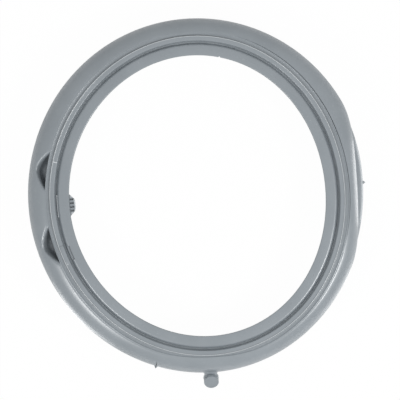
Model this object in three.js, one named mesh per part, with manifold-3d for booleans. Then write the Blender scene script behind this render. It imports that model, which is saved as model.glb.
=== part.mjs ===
// Door seal of a front loading washing machine, moulded in one piece of rubber.
// Millimetres. It lies on its tub side: +Z up towards the door, +Y towards the top of the
// machine, +X towards the lock. The origin is on the floor, under the middle of its extents.
import * as THREE from 'three';
import { mergeVertices } from 'three/addons/utils/BufferGeometryUtils.js';
import Module from 'manifold-3d';

const wasm = await Module();
wasm.setup();

// Driving sizes of the hole that the laundry goes through
const HOLE_HALF_WIDTH = 140.7;
const HOLE_HALF_HEIGHT = 154.5;
const HOLE_LEAN = 4; // degrees that the oval's long axis leans towards the hinges
const HOLE_SHIFT_X = 0.7;
const HOLE_SHIFT_Y = -2.2;
const HOLE_LOBE = 1.2; // three shallow waves round the edge

// Driving sizes of the front face, in order from the hole outwards
const LIP_WIDTH = 12.1;
const LIP_THICKNESS = 3;
const LIP_NOSE = 0.7;
const GROOVE_WIDTH = 4.4;
const GROOVE_FLOOR = 1;
const GROOVE_DEPTH = 4.2;
const GROOVE_BACK = 4.7; // rubber under the groove
const BEAD_WIDTH = 4.3;
const BEAD_RISE = 2.6; // above the lip
const RIM_WIDTH = 0.9;
const RIM_RISE = 0.9; // above the bead
const CHANNEL_WIDTH = 4.1;
const CHANNEL_DEPTH = 1.5; // under the bead's face
const CHANNEL_MARGIN = 0.12; // share of the channel that each of its flanks takes
const CHANNEL_PINCH = 0.6; // share of the channel that closes at the top and the bottom
const PINCH_HALF_ANGLE = 20; // degrees
const EDGE_WIDTH = 0.9; // thin wall outside the channel
const EDGE_DROP = 0.8; // from the bead's face down to this wall
const VALLEY_WIDTH = 0.4;
const VALLEY_DEPTH = 0.05; // under the bulge's crown

// Driving sizes of the valley's deeper part on the lock side
const LOCK_VALLEY_ANGLE = 24;
const LOCK_VALLEY_HALF_ANGLE = 53.13;
const LOCK_VALLEY_FADE = 0.4; // share of the cosine over which it deepens
const LOCK_VALLEY_DEPTH = 2.1; // under the valley elsewhere

// Driving sizes of the outer bulge
const BULGE_WIDTH_SIDES = 18.4;
const BULGE_WIDTH_ENDS = 13.7;
const BULGE_SHIFT_Y = -1.05;
const BULGE_LOBE = 1; // three shallow waves round the outline
const BULGE_LOBE_ANGLE = 42.3; // degrees to the first of them
const BULGE_CORNER = 0.37; // how far its four corners stand out
const BULGE_ROLL = 17.5; // from the crown down to the widest line
const BULGE_UNDER = 12.5; // from the widest line down to the crease
const UNDER_SHARE = 0.28; // share of the width that the underside curls in
const CROWN_SHARE = 0.02; // where the crown is, as a share of the width
const ROLL_START = 19; // degrees that the roll already slopes at the crown
const LIP_DROP = 1.6; // from the crown down to the lip's face
const WALL = 3;
const LINING_SHARE = 0.3; // how near the valley the hollow's roof and floor begin
const LINING_FULLNESS = 0.6; // under 1 makes the lower half of the hollow squarer
const ROOF_WALL = 6; // rubber over the hollow's roof, which the roll falls towards

// Driving sizes of the flat that clears the door lock
const LOCK_FLAT_DEPTH = 9.47;
const LOCK_ARC_RADIUS = 1500;
const LOCK_LEAN = 0.87; // degrees that the flat leans out towards its top
const LOCK_CORNER_BLEND = 10; // how far apart the arc and the oval still run into one another

// Driving sizes of the two pockets that clear the door hinges
const DENT_MIDDLE = 181.3; // degrees to the middle of the hinge side
const DENT_ANGLE = 14.1; // degrees either side of it
const DENT_HALF_ANGLE = 7.6;
const DENT_REACH = 13;
const DENT_DEPTH = 13;
const DENT_FLANK = 0.8; // share of the pocket that its slopes take
const DENT_ROUNDING = 1.5;

// Driving sizes of the rear fold and the tub flange, as distances in from the outer oval
const FOLD_INSET = 2.7;
const FOLD_HEIGHT = 18;
const CREASE_INSET = 13;
const CREASE_WALL = 4; // thicker than the rest, where the rubber turns sharply
const SEAT_INSET = 13.5; // bottom of the seat of the clamp band
const FLANGE_HEIGHT = 15;
const SHOULDER_WIDTH = 3; // outside the clamp seat
const SHOULDER_HEIGHT = 7;
const SHOULDER_SLOPE = 1;
const TUB_LEG = 3.5; // outer leg, under the clamp seat
const TUB_GROOVE_WIDTH = 3;
const TUB_GROOVE_DEPTH = 8.5;
const DRUM_LEG = 4;
const DRUM_LIP_REACH = 3;
const DRUM_LIP_Z = 3;

// Driving sizes of the grille lug behind the lip
const GRILLE_ANGLE = 180.8;
const GRILLE_REACH = 6.3; // past the lip's edge
const GRILLE_HALF_WIDTH = 12.5;
const GRILLE_SHOULDER_REACH = 5.4;
const GRILLE_SHOULDER_HALF_WIDTH = 7;
const GRILLE_TIP_HALF_WIDTH = 3.7;
const GRILLE_HEIGHT = 11;
const GRILLE_SLOTS = 4;
const GRILLE_SLOT_WIDTH = 2.1;
const GRILLE_SLOT_LENGTH = 4.4;
const GRILLE_SLOT_PITCH = 4.1;
const GRILLE_SLOT_DEPTH = 3.5;
const GRILLE_SLOT_MARGIN = 0.4; // from the lip's edge
const GRILLE_OVERLAP = 0.75; // how far the lug is sunk into the back of the lip

// Driving sizes of the closed spigot below the bulge
const SPIGOT_ANGLE = 270;
const SPIGOT_REACH = 11.1; // from the bulge to the middle of the end face
const SPIGOT_TILT = 37.8; // degrees from upright
const SPIGOT_RADIUS = 8.15;
const SPIGOT_STEM_RADIUS = 7.2;
const SPIGOT_HEAD = 4.4;
const SPIGOT_BEVEL = 0.8;
const SPIGOT_LENGTH = 8.3;
const COLLAR_RADIUS = 8.5;
const COLLAR_THICKNESS = 1.4;
const NECK_ROOT_WIDTH = 18.5;
const NECK_TIP_WIDTH = 11.4;
const NECK_THICKNESS = 9;
const SPIGOT_SIDES = 28;

// Driving sizes of the small moulded marks
const RIB_ANGLE = 163.3;
const RIB_WIDTH = 1.6;
const RIB_RISE = 0.8;
const PAD_ANGLE = 200.8;
const PAD_HALF_ANGLE = 4;
const PAD_RISE = 0.7;
const NOTCH_HALF_ANGLE = 3;
const NOTCH_WIDTH = 2;
const NOTCH_DEPTH = 1.8;
const NICK_ANGLE = 76.8;
const NICK_WIDTH = 2.4;
const NICK_DEPTH = 1.2;
const NIB_ANGLE = -0.2;
const CREASE_NIB_ANGLE = 252.2;
const NIB_REACH = 2.8;
const NIB_WIDTH = 4.2;
const NIB_THICKNESS = 2.4;
const TEAR_LENGTH = 6;
const TEAR_WIDTH = 1.1;

// How deep a part that joins another is sunk into it
const ROOT = 1.8;

// Steps round the ring, closer together at the pockets and the lock flat
const ARCS = [
  { from: 32, to: 157, steps: 22 },
  { from: 157, to: 204, steps: 20 },
  { from: 204, to: 328, steps: 22 },
  { from: 328, to: 392, steps: 14 },
];

// Levels above the floor
const CREASE_Z = FLANGE_HEIGHT + FOLD_HEIGHT;
const BULGE_WIDEST_Z = CREASE_Z + BULGE_UNDER;
const CROWN_Z = BULGE_WIDEST_Z + BULGE_ROLL;
const VALLEY_Z = CROWN_Z - VALLEY_DEPTH;
const LIP_Z = CROWN_Z - LIP_DROP;
const BEAD_Z = LIP_Z + BEAD_RISE;
const LIP_BACK_Z = LIP_Z - LIP_THICKNESS;
const GROOVE_Z = LIP_Z - GROOVE_DEPTH;
const FOLD_Z = FLANGE_HEIGHT + FOLD_HEIGHT / 2;

// Distances out from the hole's edge
const BEAD_START = LIP_WIDTH + GROOVE_WIDTH;
const RIM_START = BEAD_START + BEAD_WIDTH;
const CHANNEL_START = RIM_START + RIM_WIDTH;
const SEAT_WIDTH = CHANNEL_START + CHANNEL_WIDTH + EDGE_WIDTH + VALLEY_WIDTH;

const radians = THREE.MathUtils.degToRad;
const mix = THREE.MathUtils.lerp;
const smooth = THREE.MathUtils.smoothstep;

// Radius of an upright oval in one direction
function ovalRadius(halfWidth, halfHeight, angle) {
  const across = halfHeight * Math.cos(angle);
  const along = halfWidth * Math.sin(angle);
  return (halfWidth * halfHeight) / Math.hypot(across, along);
}

// Edge of the hole: a leaning oval with three shallow lobes
function holeRadius(angle) {
  const oval = ovalRadius(HOLE_HALF_WIDTH, HOLE_HALF_HEIGHT, angle - radians(HOLE_LEAN));
  const shift = HOLE_SHIFT_X * Math.cos(angle) + HOLE_SHIFT_Y * Math.sin(angle);
  return oval + shift - HOLE_LOBE * Math.cos(3 * angle);
}

// Outer oval of the bulge, before the lock flat is taken off it
function outerRadius(angle) {
  const halfWidth = HOLE_HALF_WIDTH + SEAT_WIDTH + BULGE_WIDTH_SIDES;
  const halfHeight = HOLE_HALF_HEIGHT + SEAT_WIDTH + BULGE_WIDTH_ENDS;
  const lobe = BULGE_LOBE * Math.cos(3 * (angle - radians(BULGE_LOBE_ANGLE)));
  const waves = lobe + BULGE_CORNER * Math.sin(4 * angle);
  return ovalRadius(halfWidth, halfHeight, angle) + BULGE_SHIFT_Y * Math.sin(angle) + waves;
}

// Widest line of the bulge, flattened on the lock side by an arc of a larger radius
function bulgeRadius(angle) {
  const turned = angle + radians(LOCK_LEAN);
  const arcCentre = outerRadius(0) - LOCK_FLAT_DEPTH - LOCK_ARC_RADIUS;
  const rise = arcCentre * Math.sin(turned);
  const lockArc = arcCentre * Math.cos(turned) + Math.sqrt(LOCK_ARC_RADIUS ** 2 - rise ** 2);
  const apart = Math.abs(outerRadius(angle) - lockArc);
  const blend = Math.max(0, 1 - apart / LOCK_CORNER_BLEND);
  return Math.min(outerRadius(angle), lockArc) - (LOCK_CORNER_BLEND / 4) * blend ** 2;
}

// Width of the clamp channel, which closes towards the top and the bottom
function channelWidth(angle) {
  const fromUpright = Math.asin(Math.min(1, Math.abs(Math.cos(angle))));
  const pinch = 1 - smooth(fromUpright, 0, radians(PINCH_HALF_ANGLE));
  return CHANNEL_WIDTH * (1 - CHANNEL_PINCH * pinch);
}

// Bottom of the valley between the front seat and the bulge
function valleyRadius(angle) {
  return holeRadius(angle) + CHANNEL_START + channelWidth(angle) + EDGE_WIDTH + VALLEY_WIDTH;
}

// Extra depth of the valley on the lock side
function lockValleyDepth(angle) {
  const facing = Math.cos(angle - radians(LOCK_VALLEY_ANGLE));
  const limit = Math.cos(radians(LOCK_VALLEY_HALF_ANGLE));
  return LOCK_VALLEY_DEPTH * smooth(facing, limit, limit + LOCK_VALLEY_FADE);
}

// Depth of the hinge pockets, pressed into the roof of the bulge, at a distance out from the valley
function dentDepth(angle, out, z) {
  if (z < BULGE_WIDEST_Z) {
    return 0;
  }
  const turned = ((angle % (2 * Math.PI)) + 2 * Math.PI) % (2 * Math.PI);
  const fromMiddle = Math.abs(Math.abs(turned - radians(DENT_MIDDLE)) - radians(DENT_ANGLE));
  const across = fromMiddle / radians(DENT_HALF_ANGLE);
  const inside = 1 - across ** DENT_ROUNDING - out / DENT_REACH;
  return DENT_DEPTH * smooth(inside, 0, DENT_FLANK);
}

// A point of the section has a radius and a height, each worked out for every angle
const point = (radius, height) => ({ radius, height });
const fromHole = (out, z) => point((angle) => holeRadius(angle) + out, () => z);
const fromOuter = (inset, z) => point((angle) => outerRadius(angle) - inset, () => z);

// A point outside the clamp channel moves in where the channel closes
function besideChannel(channelShare, out, z) {
  const radius = (angle) => holeRadius(angle) + CHANNEL_START + channelShare * channelWidth(angle) + out;
  return point(radius, () => z);
}

// A point at the bottom of the valley, or of the lining under it
function inValley(z) {
  return point(valleyRadius, (angle) => z - lockValleyDepth(angle) - dentDepth(angle, 0, z));
}

// A point of the bulge's dry outer face, which the pockets press down
function onBulge(share, z) {
  const radius = (angle) => mix(valleyRadius(angle), bulgeRadius(angle), share);
  const height = (angle) => z - dentDepth(angle, radius(angle) - valleyRadius(angle), z);
  return point(radius, height);
}

// A point of the bulge's wet inner face
function insideBulge(share, z) {
  const radius = (angle) => mix(valleyRadius(angle), bulgeRadius(angle) - WALL, share);
  const height = (angle) => z - dentDepth(angle, radius(angle) - valleyRadius(angle), z);
  return point(radius, height);
}

// Front of the seal: the lip, the groove behind the door glass, the bead, its rim and the channel
function frontFace() {
  const grooveMiddle = LIP_WIDTH + GROOVE_WIDTH / 2;
  const channelZ = BEAD_Z - CHANNEL_DEPTH;
  return [
    fromHole(0, LIP_Z - LIP_THICKNESS / 2),
    fromHole(LIP_NOSE, LIP_Z),
    fromHole(LIP_WIDTH, LIP_Z),
    fromHole(grooveMiddle - GROOVE_FLOOR / 2, GROOVE_Z),
    fromHole(grooveMiddle + GROOVE_FLOOR / 2, GROOVE_Z),
    fromHole(BEAD_START, BEAD_Z),
    fromHole(RIM_START, BEAD_Z),
    fromHole(RIM_START + RIM_WIDTH / 3, BEAD_Z + RIM_RISE),
    fromHole(CHANNEL_START, BEAD_Z + RIM_RISE),
    besideChannel(CHANNEL_MARGIN, 0, channelZ),
    besideChannel(1 - CHANNEL_MARGIN, 0, channelZ),
    besideChannel(1, 0, BEAD_Z - EDGE_DROP),
    besideChannel(1, EDGE_WIDTH, BEAD_Z - EDGE_DROP),
  ];
}

// Dry face of the bulge: up out of the valley, over the crown and down to its underside
function bulgeFace() {
  const points = [inValley(VALLEY_Z)];
  const start = radians(ROLL_START);
  const firstShare = Math.sin(start);
  const rollHeight = BULGE_ROLL / Math.cos(start);
  const rollSteps = 6;
  for (let i = 0; i <= rollSteps; i += 1) {
    const turn = mix(start, Math.PI / 2, i / rollSteps);
    const rolled = (Math.sin(turn) - firstShare) / (1 - firstShare);
    points.push(onBulge(mix(CROWN_SHARE, 1, rolled), BULGE_WIDEST_Z + rollHeight * Math.cos(turn)));
  }
  const underSteps = 2;
  for (let i = 1; i <= underSteps; i += 1) {
    const turn = (i / underSteps) * (Math.PI / 2);
    const share = 1 - UNDER_SHARE * (1 - Math.cos(turn));
    points.push(onBulge(share, BULGE_WIDEST_Z - (BULGE_UNDER - WALL / 2) * Math.sin(turn)));
  }
  return points;
}

// Dry face of the rear fold, from the crease to the clamp seat
function foldFace() {
  const points = [fromOuter(CREASE_INSET, CREASE_Z)];
  const depth = CREASE_INSET - FOLD_INSET;
  const steps = 5;
  for (let i = 1; i < steps; i += 1) {
    const turn = (i / steps) * Math.PI;
    const z = FOLD_Z + (FOLD_HEIGHT / 2) * Math.cos(turn);
    points.push(fromOuter(CREASE_INSET - depth * Math.sin(turn), z));
  }
  return points;
}

// Tub flange: the clamp seat outside, the groove for the tub's rim below and the drum lip inside
function flangeFace() {
  const shoulderInset = SEAT_INSET - SHOULDER_WIDTH;
  const grooveOuter = SEAT_INSET + TUB_LEG;
  const grooveInner = grooveOuter + TUB_GROOVE_WIDTH;
  const legInner = grooveInner + DRUM_LEG;
  const lipInset = legInner + DRUM_LIP_REACH;
  const roofZ = TUB_GROOVE_DEPTH + WALL;
  return [
    fromOuter(SEAT_INSET, FLANGE_HEIGHT),
    fromOuter(SEAT_INSET, SHOULDER_HEIGHT),
    fromOuter(shoulderInset, SHOULDER_HEIGHT - SHOULDER_SLOPE),
    fromOuter(shoulderInset, 0),
    fromOuter(grooveOuter, 0),
    fromOuter(grooveOuter, TUB_GROOVE_DEPTH),
    fromOuter(grooveInner, TUB_GROOVE_DEPTH),
    fromOuter(grooveInner, 0),
    fromOuter(legInner, 0),
    fromOuter(lipInset, DRUM_LIP_Z),
    fromOuter(lipInset, DRUM_LIP_Z + WALL),
    fromOuter(grooveInner + WALL / 2, roofZ),
    fromOuter(grooveOuter, roofZ + WALL),
  ];
}

// Wet side of the rear fold, one wall in from its dry face
function foldLining() {
  const points = [];
  const depth = CREASE_INSET - FOLD_INSET;
  const steps = 4;
  for (let i = steps - 1; i > 0; i -= 1) {
    const turn = (i / steps) * Math.PI;
    const inset = CREASE_INSET + WALL - depth * Math.sin(turn);
    points.push(fromOuter(inset, FOLD_Z + ((FOLD_HEIGHT - WALL) / 2) * Math.cos(turn)));
  }
  points.push(fromOuter(CREASE_INSET + CREASE_WALL, CREASE_Z));
  return points;
}

// Wet side of the bulge, under the bead and home along the back of the lip
function bulgeLining() {
  const bottomZ = CREASE_Z + CREASE_WALL;
  const topZ = CROWN_Z - ROOF_WALL;
  const points = [];
  const steps = 5;
  for (let i = 0; i <= steps; i += 1) {
    const turn = (i / steps) * Math.PI;
    const z = mix(bottomZ, topZ, (1 - Math.cos(turn)) / 2);
    const fullness = turn < Math.PI / 2 ? LINING_FULLNESS : 1;
    points.push(insideBulge(mix(LINING_SHARE, 1, Math.sin(turn) ** fullness), z));
  }
  points.push(inValley(VALLEY_Z - WALL));
  points.push(fromHole(RIM_START, GROOVE_Z - GROOVE_BACK));
  points.push(fromHole(LIP_WIDTH + GROOVE_WIDTH / 2, GROOVE_Z - GROOVE_BACK));
  points.push(fromHole(LIP_WIDTH, LIP_BACK_Z));
  points.push(fromHole(LIP_NOSE, LIP_BACK_Z));
  return points;
}

// Angles of the sections round the ring
function stationAngles() {
  const angles = [];
  for (const arc of ARCS) {
    for (let i = 0; i < arc.steps; i += 1) {
      angles.push(radians(mix(arc.from, arc.to, i / arc.steps)));
    }
  }
  return angles;
}

// The ring: a closed section turned about the axis, each of its points then set to its own oval
function ringGeometry() {
  const dryFace = [...frontFace(), ...bulgeFace(), ...foldFace()];
  const section = [...dryFace, ...flangeFace(), ...foldLining(), ...bulgeLining()];
  section.reverse();
  section.push(section[0]);
  const angles = stationAngles();
  const profile = section.map((p) => new THREE.Vector2(p.radius(0), p.height(0)));
  const geometry = new THREE.LatheGeometry(profile, angles.length);
  const positions = geometry.getAttribute('position');
  for (let i = 0; i < positions.count; i += 1) {
    const angle = angles[Math.floor(i / section.length) % angles.length];
    const { radius, height } = section[i % section.length];
    const r = radius(angle);
    positions.setXYZ(i, r * Math.cos(angle), r * Math.sin(angle), height(angle));
  }
  return geometry;
}

// Joining and cutting

function solidOf(geometry) {
  const plain = geometry.clone();
  plain.deleteAttribute('normal');
  plain.deleteAttribute('uv');
  const merged = mergeVertices(plain.index ? plain.toNonIndexed() : plain);
  const mesh = new wasm.Mesh({
    numProp: 3,
    vertProperties: Float32Array.from(merged.getAttribute('position').array),
    triVerts: Uint32Array.from(merged.index.array),
  });
  return new wasm.Manifold(mesh);
}

function geometryOf(solid) {
  const mesh = solid.getMesh();
  const geometry = new THREE.BufferGeometry();
  geometry.setAttribute('position', new THREE.BufferAttribute(Float32Array.from(mesh.vertProperties), 3));
  geometry.setIndex(new THREE.BufferAttribute(Uint32Array.from(mesh.triVerts), 1));
  geometry.computeVertexNormals();
  return geometry;
}

// A flat outline, given as corner points, raised from one level to another
function slab(corners, bottom, top) {
  const shape = new THREE.Shape(corners.map(([x, y]) => new THREE.Vector2(x, y)));
  const geometry = new THREE.ExtrudeGeometry(shape, { depth: top - bottom, bevelEnabled: false });
  geometry.translate(0, 0, bottom);
  return geometry;
}

// A slab whose outline is drawn with +X outwards at radius 0, moved out and turned to its angle
function slabAt(degrees, radius, corners, bottom, top) {
  const geometry = slab(corners, bottom, top);
  geometry.translate(radius, 0, 0);
  geometry.rotateZ(radians(degrees));
  return solidOf(geometry);
}

// A block that follows the hole's edge between two distances out from it
function curvedBlock(degrees, halfDegrees, from, to, bottom, top) {
  const steps = 4;
  const inner = [];
  const outer = [];
  for (let i = 0; i <= steps; i += 1) {
    const angle = radians(mix(degrees - halfDegrees, degrees + halfDegrees, i / steps));
    const radius = holeRadius(angle);
    inner.push([(radius + from) * Math.cos(angle), (radius + from) * Math.sin(angle)]);
    outer.push([(radius + to) * Math.cos(angle), (radius + to) * Math.sin(angle)]);
  }
  return solidOf(slab([...outer, ...inner.reverse()], bottom, top));
}

// Grille lug behind the lip on the hinge side
function grilleLug() {
  const radius = holeRadius(radians(GRILLE_ANGLE));
  const root = LIP_WIDTH + ROOT;
  const corners = [
    [-GRILLE_REACH, -GRILLE_TIP_HALF_WIDTH],
    [-GRILLE_SHOULDER_REACH, -GRILLE_SHOULDER_HALF_WIDTH],
    [0, -GRILLE_HALF_WIDTH],
    [root, -GRILLE_HALF_WIDTH],
    [root, GRILLE_HALF_WIDTH],
    [0, GRILLE_HALF_WIDTH],
    [-GRILLE_SHOULDER_REACH, GRILLE_SHOULDER_HALF_WIDTH],
    [-GRILLE_REACH, GRILLE_TIP_HALF_WIDTH],
  ];
  const top = LIP_BACK_Z + GRILLE_OVERLAP;
  return slabAt(GRILLE_ANGLE, radius, corners.reverse(), top - GRILLE_HEIGHT, top);
}

// One blind slot of the grille
function grilleSlot(index) {
  const radius = holeRadius(radians(GRILLE_ANGLE));
  const middle = (index - (GRILLE_SLOTS - 1) / 2) * GRILLE_SLOT_PITCH;
  const half = GRILLE_SLOT_WIDTH / 2;
  const outer = -GRILLE_SLOT_MARGIN;
  const inner = outer - GRILLE_SLOT_LENGTH;
  const corners = [
    [inner, middle - half],
    [outer, middle - half],
    [outer, middle + half],
    [inner, middle + half],
  ];
  return slabAt(GRILLE_ANGLE, radius, corners, LIP_BACK_Z - GRILLE_SLOT_DEPTH, LIP_Z);
}

// Neck that carries the spigot, out of the widest line of the bulge
function spigotNeck() {
  const radius = bulgeRadius(radians(SPIGOT_ANGLE));
  const tip = SPIGOT_REACH - SPIGOT_LENGTH * Math.sin(radians(SPIGOT_TILT));
  const corners = [
    [-ROOT, -NECK_ROOT_WIDTH / 2],
    [tip, -NECK_TIP_WIDTH / 2],
    [tip, NECK_TIP_WIDTH / 2],
    [-ROOT, NECK_ROOT_WIDTH / 2],
  ];
  return slabAt(SPIGOT_ANGLE, radius, corners, BULGE_WIDEST_Z - NECK_THICKNESS, BULGE_WIDEST_Z);
}

// Closed round end of the spigot: a collar, a stem and a bevelled head, tilted outwards
function spigotHead() {
  const headStart = SPIGOT_LENGTH - SPIGOT_HEAD;
  const profile = [
    [0, -COLLAR_THICKNESS],
    [COLLAR_RADIUS, -COLLAR_THICKNESS],
    [COLLAR_RADIUS, 0],
    [SPIGOT_STEM_RADIUS, 0],
    [SPIGOT_STEM_RADIUS, headStart],
    [SPIGOT_RADIUS, headStart],
    [SPIGOT_RADIUS, SPIGOT_LENGTH - SPIGOT_BEVEL],
    [SPIGOT_RADIUS - SPIGOT_BEVEL, SPIGOT_LENGTH],
    [0, SPIGOT_LENGTH],
  ];
  const geometry = new THREE.LatheGeometry(profile.map(([x, y]) => new THREE.Vector2(x, y)), SPIGOT_SIDES);
  const tilt = radians(SPIGOT_TILT);
  geometry.rotateX(Math.PI / 2);
  geometry.rotateY(tilt);
  const collarOut = SPIGOT_REACH - SPIGOT_LENGTH * Math.sin(tilt);
  const radius = bulgeRadius(radians(SPIGOT_ANGLE)) + collarOut;
  geometry.translate(radius, 0, BULGE_WIDEST_Z - NECK_THICKNESS / 2);
  geometry.rotateZ(radians(SPIGOT_ANGLE));
  return solidOf(geometry);
}

// Pointed nib left by the mould on an outer edge
function nib(degrees, radius, z) {
  const corners = [
    [-ROOT, -NIB_WIDTH / 2],
    [0, -NIB_WIDTH / 2],
    [NIB_REACH, 0],
    [0, NIB_WIDTH / 2],
    [-ROOT, NIB_WIDTH / 2],
  ];
  return slabAt(degrees, radius, corners, z - NIB_THICKNESS / 2, z + NIB_THICKNESS / 2);
}

// Short tear that runs in from the lower nib
function tear() {
  const radius = bulgeRadius(radians(CREASE_NIB_ANGLE));
  const corners = [
    [-TEAR_LENGTH, 0],
    [0, -TEAR_WIDTH / 2],
    [NIB_REACH, -TEAR_WIDTH / 2],
    [NIB_REACH, TEAR_WIDTH / 2],
    [0, TEAR_WIDTH / 2],
  ];
  return slabAt(CREASE_NIB_ANGLE, radius, corners, BULGE_WIDEST_Z, CROWN_Z);
}

// Rib across the bead
function beadRib() {
  const radius = holeRadius(radians(RIB_ANGLE));
  const corners = [
    [BEAD_START, -RIB_WIDTH / 2],
    [RIM_START + RIM_WIDTH / 2, -RIB_WIDTH / 2],
    [RIM_START + RIM_WIDTH / 2, RIB_WIDTH / 2],
    [BEAD_START, RIB_WIDTH / 2],
  ];
  return slabAt(RIB_ANGLE, radius, corners, BEAD_Z - ROOT, BEAD_Z + RIB_RISE);
}

// Shallow nick in the edge of the lip
function lipNick() {
  const radius = holeRadius(radians(NICK_ANGLE));
  const corners = [
    [-NICK_DEPTH, -NICK_WIDTH / 2],
    [NICK_DEPTH, -NICK_WIDTH / 4],
    [NICK_DEPTH, NICK_WIDTH / 4],
    [-NICK_DEPTH, NICK_WIDTH / 2],
  ];
  return slabAt(NICK_ANGLE, radius, corners, LIP_BACK_Z - ROOT, LIP_Z + ROOT);
}

// The whole seal in one piece, with its origin under the middle of its extents
function sealGeometry() {
  const added = [
    grilleLug(),
    spigotNeck(),
    spigotHead(),
    nib(NIB_ANGLE, outerRadius(radians(NIB_ANGLE)) - FOLD_INSET, FOLD_Z),
    nib(CREASE_NIB_ANGLE, bulgeRadius(radians(CREASE_NIB_ANGLE)), BULGE_WIDEST_Z),
    beadRib(),
    curvedBlock(PAD_ANGLE, PAD_HALF_ANGLE, BEAD_START, RIM_START, BEAD_Z - ROOT, BEAD_Z + PAD_RISE),
  ];
  const notchStart = LIP_WIDTH - NOTCH_WIDTH;
  const cut = [
    curvedBlock(PAD_ANGLE, NOTCH_HALF_ANGLE, notchStart, BEAD_START - ROOT, LIP_Z - NOTCH_DEPTH, LIP_Z + ROOT),
    lipNick(),
    tear(),
  ];
  for (let i = 0; i < GRILLE_SLOTS; i += 1) {
    cut.push(grilleSlot(i));
  }
  const whole = added.reduce((solid, extra) => solid.add(extra), solidOf(ringGeometry()));
  const geometry = geometryOf(cut.reduce((solid, tool) => solid.subtract(tool), whole));
  geometry.computeBoundingBox();
  const middle = geometry.boundingBox.getCenter(new THREE.Vector3());
  return geometry.translate(-middle.x, -middle.y, 0);
}

// The model

const rubber = new THREE.MeshStandardMaterial({ color: 0x8b9297, roughness: 0.45, metalness: 0 });
const doorSeal = new THREE.Mesh(sealGeometry(), rubber);
doorSeal.name = 'door_seal';

const group = new THREE.Group();
group.add(doorSeal);

export default group;
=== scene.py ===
"""Looks of a washing machine door seal, one moulded piece of grey rubber seen from the door side.

Lengths are metres and angles degrees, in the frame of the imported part: +Z towards the door,
+Y towards the top of the machine, +X towards the lock.
"""

import logging
import math
from collections.abc import Callable, Mapping, Sequence
from dataclasses import astuple, dataclass, fields, replace
from enum import Enum

import bmesh
import bpy
from mathutils import Matrix, Vector


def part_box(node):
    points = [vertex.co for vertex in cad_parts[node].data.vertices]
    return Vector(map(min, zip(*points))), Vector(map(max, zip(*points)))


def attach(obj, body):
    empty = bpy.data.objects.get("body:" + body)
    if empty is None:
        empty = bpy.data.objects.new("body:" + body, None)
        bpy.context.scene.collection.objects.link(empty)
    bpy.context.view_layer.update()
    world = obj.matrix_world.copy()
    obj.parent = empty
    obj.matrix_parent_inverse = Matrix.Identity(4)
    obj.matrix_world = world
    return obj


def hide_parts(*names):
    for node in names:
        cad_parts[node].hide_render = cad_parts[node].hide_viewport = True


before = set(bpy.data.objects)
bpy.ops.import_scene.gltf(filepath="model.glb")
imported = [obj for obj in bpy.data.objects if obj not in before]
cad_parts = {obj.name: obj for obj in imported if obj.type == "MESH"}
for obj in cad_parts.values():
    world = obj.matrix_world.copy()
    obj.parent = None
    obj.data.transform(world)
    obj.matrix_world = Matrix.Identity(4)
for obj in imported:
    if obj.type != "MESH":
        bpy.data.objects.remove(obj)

LOG = logging.getLogger("door_seal")
NODE = "door_seal"
SLOT = "seal_rubber"
FULL_TURN = 2 * math.pi
WHITE = (1, 1, 1, 1)
SHARP_ANGLE = math.radians(38)


def arithmetic(operation: str, swapped: bool = False) -> Callable[["Socket", "Number"], "Socket"]:
    """Makes an arithmetic method of Socket.

    Args:
        operation: Name of the Math node's operation.
        swapped: Whether the other number comes first.

    Returns:
        Method that adds the node and gives its result.
    """

    def method(self: "Socket", other: "Number") -> "Socket":
        """Result of the operation on this number and another."""
        values = (other, self) if swapped else (self, other)
        return self.graph.math(operation, *values)

    return method


class Socket:
    """A number in a node tree, written with plain arithmetic."""

    def __init__(self, graph: "Graph", source: bpy.types.NodeSocket) -> None:
        """Wraps the output socket of a node.

        Args:
            graph: Tree that the socket is in.
            source: Output socket that carries the number.
        """
        self.graph = graph
        self.source = source

    __add__ = arithmetic("ADD")
    __radd__ = arithmetic("ADD", swapped=True)
    __sub__ = arithmetic("SUBTRACT")
    __rsub__ = arithmetic("SUBTRACT", swapped=True)
    __mul__ = arithmetic("MULTIPLY")
    __rmul__ = arithmetic("MULTIPLY", swapped=True)
    __truediv__ = arithmetic("DIVIDE")
    __pow__ = arithmetic("POWER")

    def __neg__(self) -> "Socket":
        """This number with the other sign."""
        return self.graph.math("MULTIPLY", self, -1.0)

    def __abs__(self) -> "Socket":
        """Size of this number."""
        return self.graph.math("ABSOLUTE", self)


Number = float | Socket


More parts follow.
